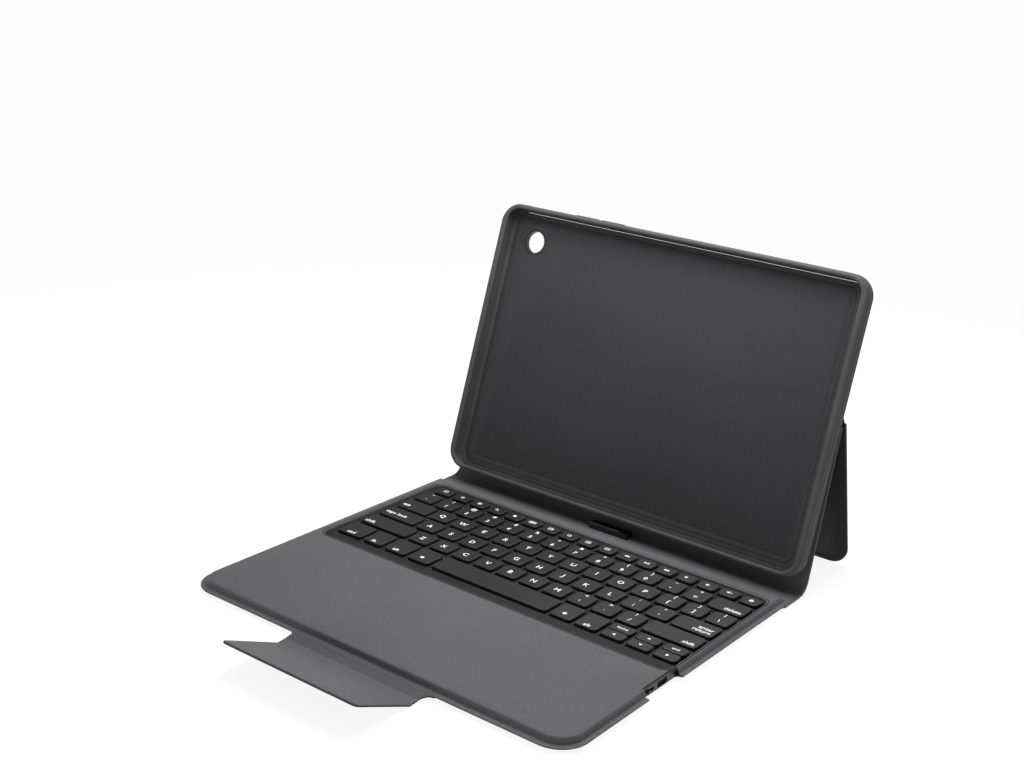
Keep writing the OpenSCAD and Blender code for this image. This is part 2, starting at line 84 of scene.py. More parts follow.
EDGE_X = BASE_HIGH.x
FRONT_Y = BASE_LOW.y
REAR_Y = BASE_HIGH.y
TOP_Z = PALM_HIGH.z
FLANGE_Z = 3.12
FRONT_R = 17.0
REAR_R = 2.0

# ------------------------------------------------------------------ materials


def socket(shader, name, value):
    if name in shader.inputs:
        shader.inputs[name].default_value = value


class Nodes:
    """A small helper that adds and links shader nodes."""

    def __init__(self, name, roughness, specular=0.5):
        self.material = bpy.data.materials.new(name)
        self.material.use_nodes = True
        self.tree = self.material.node_tree
        self.shader = self.tree.nodes["Principled BSDF"]
        socket(self.shader, "Roughness", roughness)
        socket(self.shader, "Specular IOR Level", specular)

    def add(self, kind, **values):
        node = self.tree.nodes.new(kind)
        for key, value in values.items():
            if key in ("operation", "data_type", "blend_type", "wave_type", "bands_direction", "feature",
                       "wave_profile", "distance", "noise_dimensions", "voronoi_dimensions"):
                setattr(node, key, value)
            else:
                node.inputs[key.replace("_", " ")].default_value = value
        return node

    def link(self, source, target):
        self.tree.links.new(source, target)

    def coords(self, kind):
        return self.add("ShaderNodeTexCoord").outputs[kind]

    def noise(self, coords, scale, detail=3.0, roughness=0.55):
        node = self.add("ShaderNodeTexNoise", Scale=scale, Detail=detail, Roughness=roughness)
        self.link(coords, node.inputs["Vector"])
        return node.outputs["Fac"]

    def math(self, operation, a, b=None):
        node = self.add("ShaderNodeMath", operation=operation)
        for i, value in enumerate((a, b)):
            if value is None:
                continue
            if isinstance(value, (int, float)):
                node.inputs[i].default_value = value
            else:
                self.link(value, node.inputs[i])
        return node.outputs[0]

    def ramp(self, factor, stops):
        node = self.add("ShaderNodeValToRGB")
        elements = node.color_ramp.elements
        while len(elements) < len(stops):
            elements.new(0.5)
        for element, (place, colour) in zip(elements, stops):
            element.position = place
            element.color = (*colour, 1)
        self.link(factor, node.inputs["Fac"])
        return node.outputs["Color"]

    def bump(self, height, distance, strength=1.0):
        node = self.add("ShaderNodeBump", Strength=strength, Distance=distance)
        self.link(height, node.inputs["Height"])
        self.link(node.outputs["Normal"], self.shader.inputs["Normal"])

    def colour(self, output):
        self.link(output, self.shader.inputs["Base Color"])


def tint(colour, factor):
    return tuple(c * factor for c in colour)


def leather(name, colour, roughness=0.52, grain=1250.0, contrast=0.3):
    """Smooth synthetic leather: a fine speckled grain, slow tone changes and a faint mottling."""
    n = Nodes(name, roughness, 0.12)
    where = n.coords("Object")
    fine = n.noise(where, grain, 2.0, 0.75)
    slow = n.noise(where, 14.0, 2.0)
    pebble = n.add("ShaderNodeTexVoronoi", Scale=grain * 1.4)
    n.link(where, pebble.inputs["Vector"])
    tone = n.math("ADD", n.math("MULTIPLY", fine, 0.82), n.math("MULTIPLY", slow, 0.18))
    dark, light = tint(colour, 1 - contrast), tint(colour, 1 + contrast)
    n.colour(n.ramp(tone, [(0.3, dark), (0.5, colour), (0.7, light)]))
    height = n.math("ADD", n.math("MULTIPLY", pebble.outputs["Distance"], 0.6), fine)
    n.bump(height, 0.00009, 0.8)
    rough = n.math("ADD", n.math("MULTIPLY", n.noise(where, 420.0), 0.16), roughness - 0.08)
    n.link(rough, n.shader.inputs["Roughness"])
    socket(n.shader, "Sheen Weight", 0.05)
    socket(n.shader, "Sheen Roughness", 0.5)
    return n.material


def twill(name, dark, light, pitch=0.8, roughness=0.85):
    """A fine twill in two thread tones, laid along the piece's own UV lengths."""
    n = Nodes(name, roughness, 0.2)
    where = n.coords("UV")
    diagonal = n.add("ShaderNodeTexWave", wave_type="BANDS", bands_direction="DIAGONAL",
                     Scale=0.22 / (pitch * MM), Distortion=0.6, Detail=1.0)
    threads = n.add("ShaderNodeTexWave", wave_type="BANDS", bands_direction="X", Scale=0.62 / (pitch * MM),
                    Distortion=0.5, Detail=1.0)
    cross = n.add("ShaderNodeTexWave", wave_type="BANDS", bands_direction="Y", Scale=0.31 / (pitch * MM),
                  Distortion=0.5, Detail=1.0)
    for wave in (diagonal, threads, cross):
        n.link(where, wave.inputs["Vector"])
    warp = n.math("ADD", n.math("MULTIPLY", threads.outputs["Fac"], 0.5), 0.5)
    weave = n.math("MULTIPLY", diagonal.outputs["Fac"], warp)
    weave = n.math("MULTIPLY", weave, n.math("ADD", n.math("MULTIPLY", cross.outputs["Fac"], 0.4), 0.6))
    melange = n.noise(where, 1100.0, 2.0, 0.7)
    streak = n.noise(where, 90.0, 3.0)
    tone = n.math("ADD", n.math("MULTIPLY", weave, 0.5), n.math("MULTIPLY", melange, 0.5))
    tone = n.math("ADD", tone, n.math("MULTIPLY", streak, 0.1))
    middle = tuple((a + b) / 2 for a, b in zip(dark, light))
    n.colour(n.ramp(tone, [(0.28, dark), (0.5, middle), (0.75, light)]))
    n.bump(weave, 0.00012, 0.8)
    socket(n.shader, "Sheen Weight", 0.12)
    socket(n.shader, "Sheen Roughness", 0.45)
    return n.material


def moulded(name, colour, roughness=0.45, texture=3200.0, depth=0.00002, specular=0.4, spread=0.12):
    """Moulded plastic or rubber: a fine spark-eroded texture and a little unevenness in gloss."""
    n = Nodes(name, roughness, specular)
    where = n.coords("Object")
    fine = n.noise(where, texture, 2.0)
    slow = n.noise(where, 35.0, 2.0)
    n.colour(n.ramp(slow, [(0.3, tint(colour, 1 - spread)), (0.7, tint(colour, 1 + spread))]))
    n.bump(fine, depth, 0.6)
    rough = n.math("ADD", n.math("MULTIPLY", slow, 0.14), roughness - 0.07)
    n.link(rough, n.shader.inputs["Roughness"])
    return n.material


def metal(name, colour, roughness=0.32):
    n = Nodes(name, roughness)
    socket(n.shader, "Metallic", 1.0)
    where = n.coords("Object")
    stretch = n.add("ShaderNodeMapping", Scale=(60.0, 2600.0, 60.0))
    n.link(where, stretch.inputs["Vector"])
    brush = n.noise(stretch.outputs["Vector"], 1.0, 3.0)
    n.colour(n.ramp(brush, [(0.3, tint(colour, 0.85)), (0.7, colour)]))
    n.bump(brush, 0.00001, 0.4)
    return n.material


SLATE_DARK = (0.016, 0.019, 0.024)
SLATE_LIGHT = (0.072, 0.083, 0.100)
LINING = leather("grey_lining_pu", (0.079, 0.079, 0.0828))
# The pressed line's lining is painted much darker than the lining: painted shade in the groove
GROOVE_PAINTED_SHADE = leather("lining_groove_painted_shade", (0.018, 0.018, 0.019), 0.7)
# One lining painted in two tones: darker on the flap's neck as painted shade where it slopes down, lighter on the
# tongue as painted light where it tilts up
NECK_LINING_PAINTED_SHADE = leather("neck_lining_painted_shade", (0.064, 0.064, 0.067))
TONGUE_LINING_PAINTED_LIGHT = leather("tongue_lining_painted_light", (0.088, 0.088, 0.092))
OUTER = twill("slate_outer_twill", SLATE_DARK, SLATE_LIGHT)
BLACK_TWILL = twill("black_kickstand_twill", (0.004, 0.004, 0.0045), (0.022, 0.022, 0.024), 0.7)
FELT = leather("tray_microfibre", (0.03, 0.03, 0.032), 0.9, 1500.0)
TPU = moulded("tray_soft_rubber", (0.054, 0.054, 0.056), 0.5, 2400.0, 0.000018, 0.1)
TPU_DARK = moulded("tray_groove_rubber", (0.02, 0.02, 0.021), 0.5)
KEYCAP = moulded("keycap_plastic", (0.004, 0.004, 0.0043), 0.55, 3600.0, 0.00002, 0.3)
KEYCAP_SIDE = moulded("keycap_side_plastic", (0.004, 0.004, 0.0045), 0.6, 3600.0, 0.00002, 0.15)
DECK = moulded("deck_plastic", (0.012, 0.012, 0.013), 0.55, 3000.0, 0.00002, 0.2)
BLACK = moulded("black_plastic", (0.008, 0.008, 0.009), 0.4, 2600.0)
LEGEND = moulded("legend_white", (0.75, 0.75, 0.75), 0.5, 2000.0, 0.000005, 0.3, 0.03)
LENS = moulded("lens_clear", (0.12, 0.12, 0.125), 0.2, 900.0, 0.000005, 0.5)
BOARD = moulded("fibreboard", (0.2, 0.185, 0.165), 0.9, 900.0, 0.00008, 0.1)
STEEL = metal("brushed_steel", (0.6, 0.61, 0.63))
CIRCUIT = moulded("green_circuit_board", (0.02, 0.13, 0.06), 0.35)
MEMBRANE = moulded("membrane_film", (0.6, 0.62, 0.63), 0.25)
DOME = moulded("silicone_dome", (0.7, 0.7, 0.68), 0.5)
WHITE = moulded("scissor_plastic", (0.7, 0.7, 0.7), 0.45)
FOIL = metal("battery_foil", (0.5, 0.55, 0.62), 0.4)

CAD_MATERIALS = {
    "keyboard_deck": DECK, "keyboard_pan": BLACK, "side_port_plate": BLACK, "power_switch": BLACK,
    "spine_lug": BLACK, "camera_ring": BLACK, "tray_back_plate": TPU_DARK, "charging_port": STEEL,
    "switch_housing": STEEL, "closure_magnets": STEEL, "key_backplate": STEEL, "keyboard_screws": STEEL,
    "flap_magnets": STEEL, "base_stiffener": BOARD, "palm_rest_core": BOARD, "spine_board": BOARD,
    "kickstand_board": BOARD, "flap_board": BOARD, "controller_board": CIRCUIT, "membrane_sheet": MEMBRANE,
    "membrane_tail": MEMBRANE, "battery_lead": MEMBRANE, "rubber_domes": DOME, "scissor_frames": WHITE,
    "battery_pack": FOIL, "indicator_lenses": LENS, "volume_up_button": TPU, "volume_down_button": TPU,
    "tablet_power_button": TPU,
}
for name, material in CAD_MATERIALS.items():
    data = frame["nodes"][name].data
    data.materials.clear()
    data.materials.append(material)

# ------------------------------------------------------------------ mesh helpers


def finish_mesh(name, bm, materials, uv=None, smooth=35.0):
    """Turns a bmesh in millimetres into an object in metres, with UVs in metres."""
    bmesh.ops.remove_doubles(bm, verts=bm.verts, dist=1e-5)
    bmesh.ops.recalc_face_normals(bm, faces=bm.faces)
    layer = bm.loops.layers.uv.new("lengths")
    for face in bm.faces:
        for loop in face.loops:
            loop[layer].uv = (uv or planar)(loop.vert.co)
    bmesh.ops.scale(bm, vec=Vector((MM, MM, MM)), verts=bm.verts)
    mesh = bpy.data.meshes.new(name)
    bm.to_mesh(mesh)
    bm.free()
    for material in materials:
        mesh.materials.append(material)
    obj = bpy.data.objects.new(name, mesh)
    bpy.context.scene.collection.objects.link(obj)
    mesh.polygons.foreach_set("use_smooth", [True] * len(mesh.polygons))
    if smooth is not None:
        mesh.set_sharp_from_angle(angle=math.radians(smooth))
    return obj


def planar(co):
    return co.x * MM, co.y * MM


def along(co):
    """UVs for a strip that runs from front to rear and up: x, and the length in the YZ plane, roughly."""
    return co.x * MM, (co.y + co.z) * MM


def bake(obj):
    """Applies the object's modifiers to its mesh."""
    bpy.context.view_layer.update()
    graph = bpy.context.evaluated_depsgraph_get()
    mesh = bpy.data.meshes.new_from_object(obj.evaluated_get(graph))
    obj.modifiers.clear()
    obj.data = mesh
    return obj


def cut(obj, cutters):
    """Takes the cutters' volume out of obj and removes them."""
    for cutter in cutters:
        modifier = obj.modifiers.new("cut", "BOOLEAN")
        modifier.operation = "DIFFERENCE"
        modifier.solver = "EXACT"
        modifier.object = cutter
    bake(obj)
    for cutter in cutters:
        bpy.data.objects.remove(cutter)
    return obj


def box_cutter(low, high, place=Matrix.Identity(4), bevel=0.3):
    bm = bmesh.new()
    bmesh.ops.create_cube(bm, size=1.0)
    low, high = Vector(low), Vector(high)
    bmesh.ops.scale(bm, vec=high - low, verts=bm.verts)
    bmesh.ops.translate(bm, vec=(low + high) / 2, verts=bm.verts)
    bmesh.ops.bevel(bm, geom=bm.edges[:], offset=bevel, segments=2, affect="EDGES")
    bmesh.ops.transform(bm, matrix=place, verts=bm.verts)
    return finish_mesh("cutter", bm, [])


def add_ring(bm, points):
    return [bm.verts.new(p) for p in points]


def bridge(bm, a, b, material=0):
    for i in range(len(a)):
        j = (i + 1) % len(a)
        face = bm.faces.new((a[i], a[j], b[j], b[i]))
        face.material_index = material


def loop_edges(bm, ring):
    found = []
    for i in range(len(ring)):
        edge = bm.edges.get((ring[i], ring[(i + 1) % len(ring)]))
        found.append(edge or bm.edges.new((ring[i], ring[(i + 1) % len(ring)])))
    return found


def fill(bm, *rings):
    """Fills the flat region between one outer ring and any rings inside it."""
    edges = [e for ring in rings for e in loop_edges(bm, ring)]
    bmesh.ops.triangle_fill(bm, use_beauty=True, use_dissolve=False, edges=edges)


def rounded(low_x, high_x, low_y, high_y, radii, steps=10, straight=1):
    """Points round a rectangle with a radius for each corner: front right, rear right, rear left, front left."""
    corners = [(high_x, low_y, -90, radii[0]), (high_x, high_y, 0, radii[1]),
               (low_x, high_y, 90, radii[2]), (low_x, low_y, 180, radii[3])]
    points = []
    for x, y, start, r in corners:
        cx = x - r if x == high_x else x + r
        cy = y - r if y == high_y else y + r
        for i in range(steps + 1):
            a = math.radians(start + 90 * i / steps)
            points.append((cx + r * math.cos(a), cy + r * math.sin(a)))
    out = []
    for i, p in enumerate(points):
        q = points[(i + 1) % len(points)]
        out.append(p)
        if (i + 1) % (steps + 1) == 0:
            for k in range(1, straight):
                t = k / straight
                out.append((p[0] + (q[0] - p[0]) * t, p[1] + (q[1] - p[1]) * t))
    return out


def solids_of(node):
    """The box of each separate solid of a CAD node, from left to right, in millimetres."""
    bm = bmesh.new()
    bm.from_mesh(frame["nodes"][node].data)
    bmesh.ops.remove_doubles(bm, verts=bm.verts, dist=1e-6)
    boxes, seen = [], set()
    for vert in bm.verts:
        if vert in seen:
            continue
        group, stack = [], [vert]
        seen.add(vert)
        while stack:
            v = stack.pop()
            group.append(v.co / MM)
            for e in v.link_edges:
                other = e.other_vert(v)
                if other not in seen:
                    seen.add(other)
                    stack.append(other)
        low = Vector((min(p[i] for p in group) for i in range(3)))
        high = Vector((max(p[i] for p in group) for i in range(3)))
        boxes.append((low, high))
    bm.free()
    return sorted(boxes, key=lambda b: (round(b[0].x + b[1].x, 1), b[0].y))


FLANGE = 2.5
RIGHT_BEVEL = 0.58


def right_inset(inset):
    """The bevel is narrower along the right side, where the keyboard comes nearer to the edge."""
    return min(inset, FLANGE) + max(inset - FLANGE, 0) * RIGHT_BEVEL


def base_ring(inset, z, steps=14, right=None):
    front, rear = max(FRONT_R - inset, 1.5), max(REAR_R - inset, 0.8)
    right = inset if right is None else right
    return [(x, y, z) for x, y in rounded(-EDGE_X + inset, EDGE_X - right, FRONT_Y + inset, REAR_Y - inset,
                                          (front, rear, rear, front), steps)]


# ------------------------------------------------------------------ base

BED = (DECK_LOW.x - 0.15, DECK_HIGH.x + 0.15, DECK_LOW.y - 0.15, DECK_HIGH.y + 0.15)
BED_R = 5.5


def bed_ring(outset, z, steps=10):
    r = BED_R + outset
    return [(x, y, z) for x, y in rounded(BED[0] - outset, BED[1] + outset, BED[2] - outset, BED[3] + outset,
                                          (r, r, r, r), steps)]


# (distance in from the base's edge, height) across the lining's upper face and the outer fabric's lower face
TOP_PROFILE = [
    (0, 2.7), (0.15, 2.95), (0.5, 3.05), (1.5, 3.1), (FLANGE, FLANGE_Z), (2.8, 3.2), (3.05, 3.5), (3.3, 4.1),
    (3.65, 5.0), (4.0, 5.8), (4.35, 6.25), (4.9, 6.5), (5.7, TOP_Z)
]
UNDER_PROFILE = [(0.45, 1.95), (0.8, 1.78), (2.0, 1.6), (3.6, 1.2), (5.6, 0.5), (6.8, 0.12), (8.0, 0.0)]
SPLIT_Y = 98.0
RIM = 1.13
BED_FOOT = 4.45


def profile_z(profile, inset):
    for (i0, z0), (i1, z1) in zip(profile, profile[1:]):
        if inset <= i1:
            return z0 + (z1 - z0) * max(inset - i0, 0) / (i1 - i0)
    return profile[-1][1]


def base_cutters():
    """The side notch, its port insert and everything behind the line where the spine's strips take over."""
    notch = box_cutter((EDGE_X - 4.2, -37.5, -2), (EDGE_X + 6, -5.7, 12), bevel=0.6)
    insert = box_cutter((PLATE_LOW.x - 0.05, PLATE_LOW.y - 0.05, -1),
                        (PLATE_HIGH.x + 0.3, PLATE_HIGH.y + 0.05, 12), bevel=0.03)
    rear = box_cutter((-EDGE_X - 5, SPLIT_Y, -5), (EDGE_X + 5, REAR_Y + 5, 15), bevel=0.01)
    return [notch, insert, rear]


def build_palm_rest():
    bm = bmesh.new()
    skirt = [(2.3, 2.35), (0.5, 2.1), (0.12, 2.2), (0, 2.45)]
    rings = [add_ring(bm, base_ring(inset, z, right=right_inset(inset))) for inset, z in skirt + TOP_PROFILE]
    for a, b in zip(rings, rings[1:]):
        bridge(bm, a, b)
    # A pressed line round the keyboard, its groove faces painted dark as painted shade, then the bed's rounded
    # rim and its wall
    press = [(RIM + 0.36, TOP_Z), (RIM + 0.26, TOP_Z - 0.12), (RIM + 0.12, TOP_Z - 0.5),
             (RIM - 0.12, TOP_Z - 0.5), (RIM - 0.26, TOP_Z - 0.12), (RIM - 0.36, TOP_Z)]
    rim = [(0.72, TOP_Z), (0.35, TOP_Z - 0.07), (0.1, TOP_Z - 0.28), (0, TOP_Z - 0.6), (0, BED_FOOT)]
    bed = [add_ring(bm, bed_ring(o, z)) for o, z in press + rim]
    for i, (a, b) in enumerate(zip(bed, bed[1:])):
        bridge(bm, a, b, 1 if 0 < i < len(press) - 2 else 0)
    under = add_ring(bm, bed_ring(0.45, 4.45))
    inner = add_ring(bm, bed_ring(0.45, TOP_Z - 0.6))
    bridge(bm, bed[-1], under)
    bridge(bm, under, inner)
    edge = add_ring(bm, base_ring(5.75, TOP_Z - 0.6, right=right_inset(5.75)))
    fill(bm, rings[-1], bed[0])
    fill(bm, edge, inner)
    bridge(bm, rings[0], edge)
    obj = finish_mesh("palm_rest_cover", bm, [LINING, GROOVE_PAINTED_SHADE])
    lenses = []
    for low, high in solids_of("indicator_lenses"):
        tube = bmesh.new()
        middle = (low + high) / 2
        bmesh.ops.create_cone(tube, cap_ends=True, segments=24, radius1=1.0, radius2=1.0, depth=6.0,
                              matrix=Matrix.Translation((middle.x, middle.y, TOP_Z)))
        lenses.append(finish_mesh("cutter", tube, []))
    cut(obj, base_cutters() + lenses)
    obj.data.set_sharp_from_angle(angle=math.radians(38))
    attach(obj, "base")
    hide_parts("palm_rest_lining")


def build_base_cover():
    bm = bmesh.new()
    rings = [add_ring(bm, base_ring(inset, z)) for inset, z in [(2.3, 2.3), (0.75, 2.08)] + UNDER_PROFILE]
    for a, b in zip(rings, rings[1:]):
        bridge(bm, a, b)
    fill(bm, rings[-1])
    inside = add_ring(bm, base_ring(8.2, 0.55))
    bridge(bm, rings[0], inside)
    fill(bm, inside)
    obj = finish_mesh("base_fabric_cover", bm, [OUTER])
    cut(obj, base_cutters())
    obj.data.set_sharp_from_angle(angle=math.radians(38))
    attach(obj, "base")
    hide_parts("base_outer_cover")


# ------------------------------------------------------------------ keys

CAP_Z = 4.55
CAP_TOP = 6.75
CAP_WALL = 1.0
CAP_ROOF = 1.0
KEY_NODES = [
    "function_keys", "number_keys", "upper_letter_keys", "home_letter_keys", "lower_letter_keys", "modifier_keys",
    "delete_key", "tab_key", "backslash_key", "caps_key", "enter_key", "left_shift_key", "right_shift_key",
    "space_bar", "left_arrow_key", "up_arrow_key", "down_arrow_key", "right_arrow_key",
]


def cap_ring(bm, low, high, inset, r, z):
    edge = rounded(low.x + inset, high.x - inset, low.y + inset, high.y - inset, (r, r, r, r), 5)
    return add_ring(bm, [(x, y, z) for x, y in edge])


def build_caps(node):
    bm = bmesh.new()
    boxes = solids_of(node)
    profile = [
        (0.25, CAP_Z), (0, CAP_Z + 0.15), (0, CAP_TOP - 0.6), (0.05, CAP_TOP - 0.38), (0.18, CAP_TOP - 0.17),
        (0.4, CAP_TOP - 0.04), (0.75, CAP_TOP), (1.5, CAP_TOP - 0.05), (2.2, CAP_TOP - 0.08)
    ]
    for low, high in boxes:
        rings = [cap_ring(bm, low, high, inset, max(2.4 - 0.75 * inset, 0.5), z) for inset, z in profile]
        for i, (a, b) in enumerate(zip(rings, rings[1:])):
            bridge(bm, a, b, 1 if i < 3 else 0)
        hollow = [cap_ring(bm, low, high, CAP_WALL, 0.9, z) for z in (CAP_Z, CAP_TOP - CAP_ROOF)]
        bridge(bm, hollow[0], rings[0], 1)
        bridge(bm, hollow[1], hollow[0], 1)
        bm.faces.new(list(reversed(hollow[1]))).material_index = 1
        bm.faces.new(rings[-1])
    obj = finish_mesh("caps_" + node, bm, [KEYCAP, KEYCAP_SIDE], smooth=50.0)
    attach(obj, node)
    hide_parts(node)
    return boxes


def text_mesh(text, size):
    """Flat letters as a mesh, centred on the origin, in millimetres."""
    curve = bpy.data.curves.new("letters", "FONT")
    curve.body = text
    curve.size = size
    curve.align_x = "CENTER" if "\n" not in text else "RIGHT"
    curve.align_y = "CENTER"
    curve.space_line = 0.85
    curve.resolution_u = 3
    curve.offset = 0.01 * size
    holder = bpy.data.objects.new("letters", curve)
    bpy.context.scene.collection.objects.link(holder)
    bpy.context.view_layer.update()
    mesh = bpy.data.meshes.new_from_object(holder.evaluated_get(bpy.context.evaluated_depsgraph_get()))
    bpy.data.objects.remove(holder)
    bpy.data.curves.remove(curve)
    return mesh


def print_text(bm, text, x, y, size, align=0):
    mesh = text_mesh(text, size)
    co = [v.co.copy() for v in mesh.vertices]
    if not co:
        return
    low_x, high_x = min(c.x for c in co), max(c.x for c in co)
    low_y, high_y = min(c.y for c in co), max(c.y for c in co)
    shift_x = {-1: -low_x, 0: -(low_x + high_x) / 2, 1: -high_x}[align]
    verts = [bm.verts.new((c.x + shift_x + x, c.y - (low_y + high_y) / 2 + y, LEGEND_Z)) for c in co]
    for polygon in mesh.polygons:
        bm.faces.new([verts[i] for i in polygon.vertices])
    bpy.data.meshes.remove(mesh)


LEGEND_Z = CAP_TOP + 0.012


def disc(bm, x, y, r, count=14, squash=1.0):
    turns = [math.tau * i / count for i in range(count)]
    bm.faces.new([bm.verts.new((x + r * math.cos(a), y + squash * r * math.sin(a), LEGEND_Z)) for a in turns])


def ring(bm, x, y, r, width, count=18):
    a, b = [], []
    for i in range(count):
        c, s = math.cos(math.tau * i / count), math.sin(math.tau * i / count)
        a.append(bm.verts.new((x + r * c, y + r * s, LEGEND_Z)))
        b.append(bm.verts.new((x + (r - width) * c, y + (r - width) * s, LEGEND_Z)))
    bridge(bm, a, b)


def polygon(bm, points, x, y):
    bm.faces.new([bm.verts.new((x + px, y + py, LEGEND_Z)) for px, py in points])


def stroke(bm, x0, y0, x1, y1, width):
    d = Vector((x1 - x0, y1 - y0))
    n = Vector((-d.y, d.x)).normalized() * width / 2
    corners = [(x0 + n.x, y0 + n.y), (x0 - n.x, y0 - n.y), (x1 - n.x, y1 - n.y), (x1 + n.x, y1 + n.y)]
    polygon(bm, corners, 0, 0)


def frame_icon(bm, x, y, w, h, t):
    for x0, y0, x1, y1 in ((-w, -h, w, -h), (-w, h, w, h), (-w, -h, -w, h), (w, -h, w, h)):
        stroke(bm, x + x0, y + y0, x + x1, y + y1, t)


def sun(bm, x, y, r, rays):
    disc(bm, x, y, r * 0.45)
    for i in range(rays):
        c, s = math.cos(math.tau * i / rays), math.sin(math.tau * i / rays)
        stroke(bm, x + 0.62 * r * c, y + 0.62 * r * s, x + r * c, y + r * s, 0.25)


def play(bm, x, y, direction, size=0.75):
    back, tip = -0.8 * size * direction, 0.9 * size * direction
    polygon(bm, [(back, size), (back, -size), (tip, 0)], x, y)


def speaker(bm, x, y, waves):
    polygon(bm, [(-1.3, -0.4), (-0.8, -0.4), (-0.2, -0.9), (-0.2, 0.9), (-0.8, 0.4), (-1.3, 0.4)], x, y)
    for i in range(waves):
        stroke(bm, x + 0.25 + 0.5 * i, y - 0.35 - 0.25 * i, x + 0.25 + 0.5 * i, y + 0.35 + 0.25 * i, 0.22)


def function_icon(bm, index, x, y):
    """Plain symbols for the top row, left to right."""
    if index == 0:
        frame_icon(bm, x, y, 0.9, 0.75, 0.28)
    elif index in (1, 2):
        sun(bm, x, y, 0.95 + 0.35 * (index - 1), 8)
    elif index == 3:
        ring(bm, x - 0.2, y + 0.2, 0.75, 0.25)
        stroke(bm, x + 0.3, y - 0.3, x + 0.95, y - 0.95, 0.3)
    elif index == 4:
        disc(bm, x, y, 0.85)
    elif index == 5:
        frame_icon(bm, x, y, 1.7, 0.8, 0.22)
        for row in (-0.3, 0.3):
            stroke(bm, x - 1.3, y + row, x + 1.3, y + row, 0.3)
    elif index in (6, 8, 9):
        frame_icon(bm, x, y, 1.1, 0.85, 0.25)
        stroke(bm, x - 0.6, y - 0.1, x + 0.6, y + 0.3, 0.3)
    elif index == 7:
        ring(bm, x, y, 0.95, 0.28)
    elif index in (10, 12):
        side = -1 if index == 10 else 1
        play(bm, x - 0.6, y, side)
        play(bm, x + 0.6, y, side)
    elif index == 11:
        play(bm, x - 0.5, y, 1)
        stroke(bm, x + 0.5, y - 0.75, x + 0.5, y + 0.75, 0.28)
        stroke(bm, x + 1.0, y - 0.75, x + 1.0, y + 0.75, 0.28)
    elif index in (13, 14, 15):
        speaker(bm, x, y, index - 13)
    else:
        frame_icon(bm, x, y - 0.25, 0.7, 0.5, 0.5)
        ring(bm, x, y + 0.3, 0.6, 0.22)


LETTER = 5.1
SMALL = 2.6
WORD = 4.3
ICON = 1.4
NUMBER_LEGENDS = ["~`", "!1", "@2", "#3", "$4", "%5", "^6", "&7", "*8", "(9", ")0", "_-", "+="]
UPPER_LEGENDS = ["Q", "W", "E", "R", "T", "Y", "U", "I", "O", "P", "{[", "}]"]
HOME_LEGENDS = ["A", "S", "D", "F", "G", "H", "J", "K", "L", ":;", "\"'"]
LOWER_LEGENDS = ["Z", "X", "C", "V", "B", "N", "M", "<,", ">.", "?/"]
ROWS = {"number_keys": NUMBER_LEGENDS, "upper_letter_keys": UPPER_LEGENDS, "home_letter_keys": HOME_LEGENDS,
        "lower_letter_keys": LOWER_LEGENDS}
WORDS = {"delete_key": ("delete", 1), "tab_key": ("tab", -1), "caps_key": ("caps lock", -1),
         "enter_key": ("enter\nreturn", 1), "left_shift_key": ("shift", -1), "right_shift_key": ("shift", 1)}
WORD_DROP = {"tab_key": 1.7, "caps_key": 1.2, "enter_key": 1.6}
ARROWS = {"left_arrow_key": (-1, 0), "right_arrow_key": (1, 0), "up_arrow_key": (0, 1),
          "down_arrow_key": (0, -1)}
MODIFIER_WORDS = ["ctrl", "fn", "alt", "", "", "alt"]
HALF_WORDS = ["home", "end"]


def pair(bm, legend, x, y):
    print_text(bm, legend[0], x, y + 4.7, LETTER * 0.8)
    print_text(bm, legend[1], x, y - 2.7, LETTER * 0.92)


def build_legends(node, boxes):
    bm = bmesh.new()
    halves = 0
    for i, (low, high) in enumerate(boxes):
        x, y = (low.x + high.x) / 2, (low.y + high.y) / 2
        if node == "function_keys":
            count = len(bm.verts)
            function_icon(bm, i, 0, 0)
            bm.verts.ensure_lookup_table()
            for v in bm.verts[count:]:
                v.co.x, v.co.y = v.co.x * ICON + x, v.co.y * ICON + y + 0.4
        elif node in ROWS:
            legend = ROWS[node][i]
            if len(legend) == 2:
                pair(bm, legend, x, y)
            else:
                print_text(bm, legend, x, y - 0.6, LETTER)
        elif node in WORDS:
            word, side = WORDS[node]
            place = low.x + 2.0 if side < 0 else high.x - 2.0
            print_text(bm, word, place, y - WORD_DROP.get(node, 3.5), WORD, side)
        elif node == "backslash_key":
            pair(bm, "|\\", x, y)
        elif node in ARROWS:
            dx, dy = ARROWS[node]
            tip = (1.1 * dx, 0.9 * dy)
            low_end = (-0.7 * dx - 1.1 * dy, -0.6 * dy - 1.1 * dx)
            high_end = (-0.7 * dx + 1.1 * dy, -0.6 * dy + 1.1 * dx)
            polygon(bm, [tip, low_end, high_end], x, y)
        elif node == "modifier_keys":
            if high.y - low.y > 10:
                word = MODIFIER_WORDS[i - halves]
                if word:
                    print_text(bm, word, x, low.y + 2.9, WORD)
                else:
                    polygon(bm, [(0, 1.5), (-1.5, 0), (0, -1.5), (1.5, 0)], x, y - 3)
            else:
                print_text(bm, HALF_WORDS[halves], x, y, SMALL * 1.15)
                halves += 1
    if not bm.verts:
        bm.free()
        return
    for face in bm.faces:
        face.normal_update()
        if face.normal.z < 0:
            face.normal_flip()
    extruded = bmesh.ops.extrude_face_region(bm, geom=bm.faces[:])
    down = [v for v in extruded["geom"] if isinstance(v, bmesh.types.BMVert)]
    bmesh.ops.translate(bm, vec=(0, 0, -0.1), verts=down)
    obj = finish_mesh("legends_" + node, bm, [LEGEND], smooth=None)
    obj.data.polygons.foreach_set("use_smooth", [False] * len(obj.data.polygons))
    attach(obj, node)


# ------------------------------------------------------------------ strips that fold

EDGE_COLUMNS = [(0.0, 0.35), (0.12, 0.62), (0.35, 0.86), (0.8, 1.0)]


